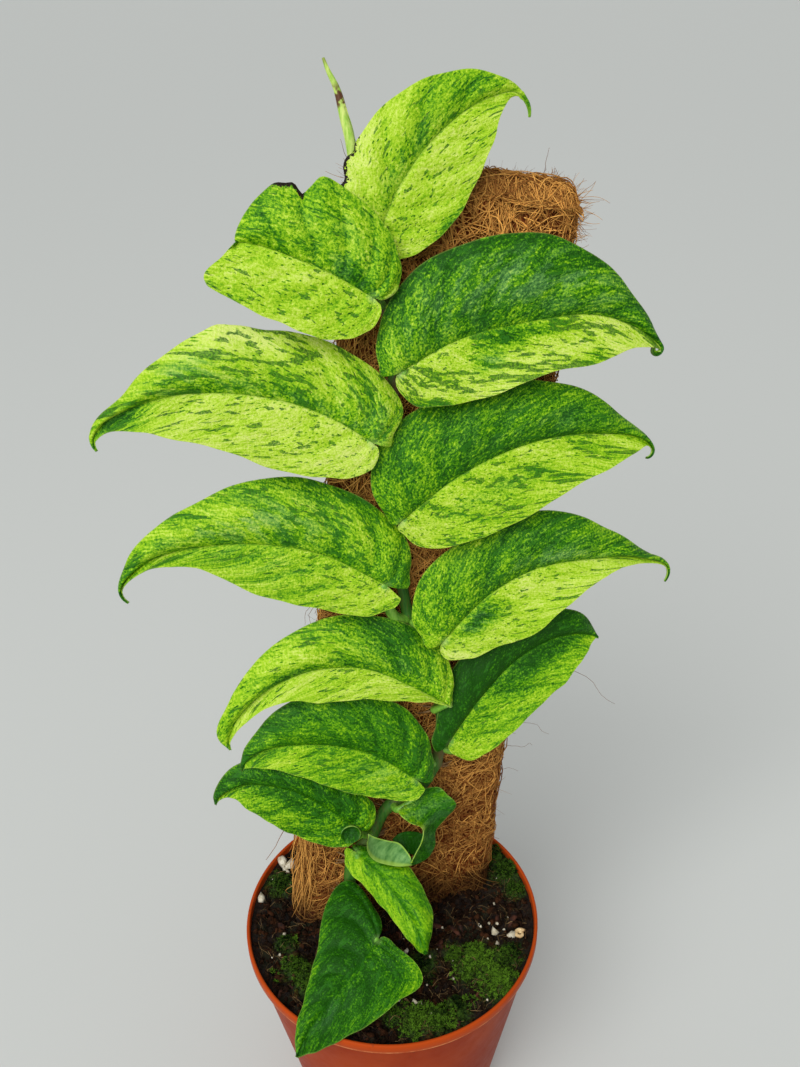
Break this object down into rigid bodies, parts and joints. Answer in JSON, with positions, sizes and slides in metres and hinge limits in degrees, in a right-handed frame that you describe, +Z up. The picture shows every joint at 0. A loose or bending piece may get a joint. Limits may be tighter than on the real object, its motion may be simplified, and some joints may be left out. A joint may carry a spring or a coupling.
{
  "type": "potted climbing shingle plant",
  "caption": "Variegated shingle plant with overlapping marbled leaves climbing a flat coir board that stands in a round plastic nursery pot.",
  "frame": {"origin": "middle of the pot's flat foot, on the surface it stands on", "axes": "+Z up along the pot's axis; the leafy front faces -Y, turned a little to -X; +X is the right of the picture"},
  "size_m": [0.2024, 0.1437, 0.4175],
  "materials": {
    "pot": "smooth terracotta-orange plastic, slightly glossy",
    "soil": "dark damp potting mix with moss and perlite",
    "coir": "rough matted brown coconut fibre",
    "slat": "plain sawn wood",
    "stem": "green to brown climbing stem with short roots",
    "shoot": "smooth pale lime rolled leaf",
    "leaf": "smooth half-glossy leaf, marbled in lime, cream and dark green"
  },
  "bodies": {
    "root": {"pot": "pot", "soil": "soil", "coir_board": "coir", "board_slat": "slat", "stem": "stem", "new_shoot": "shoot", "leaf_01": "leaf", "leaf_02": "leaf", "leaf_03": "leaf", "leaf_04": "leaf", "leaf_05": "leaf", "leaf_06": "leaf", "leaf_07": "leaf", "leaf_08": "leaf", "leaf_09": "leaf", "leaf_10": "leaf", "leaf_11": "leaf", "leaf_12": "leaf", "leaf_13": "leaf", "leaf_14": "leaf"}
  },
  "joints": []
}
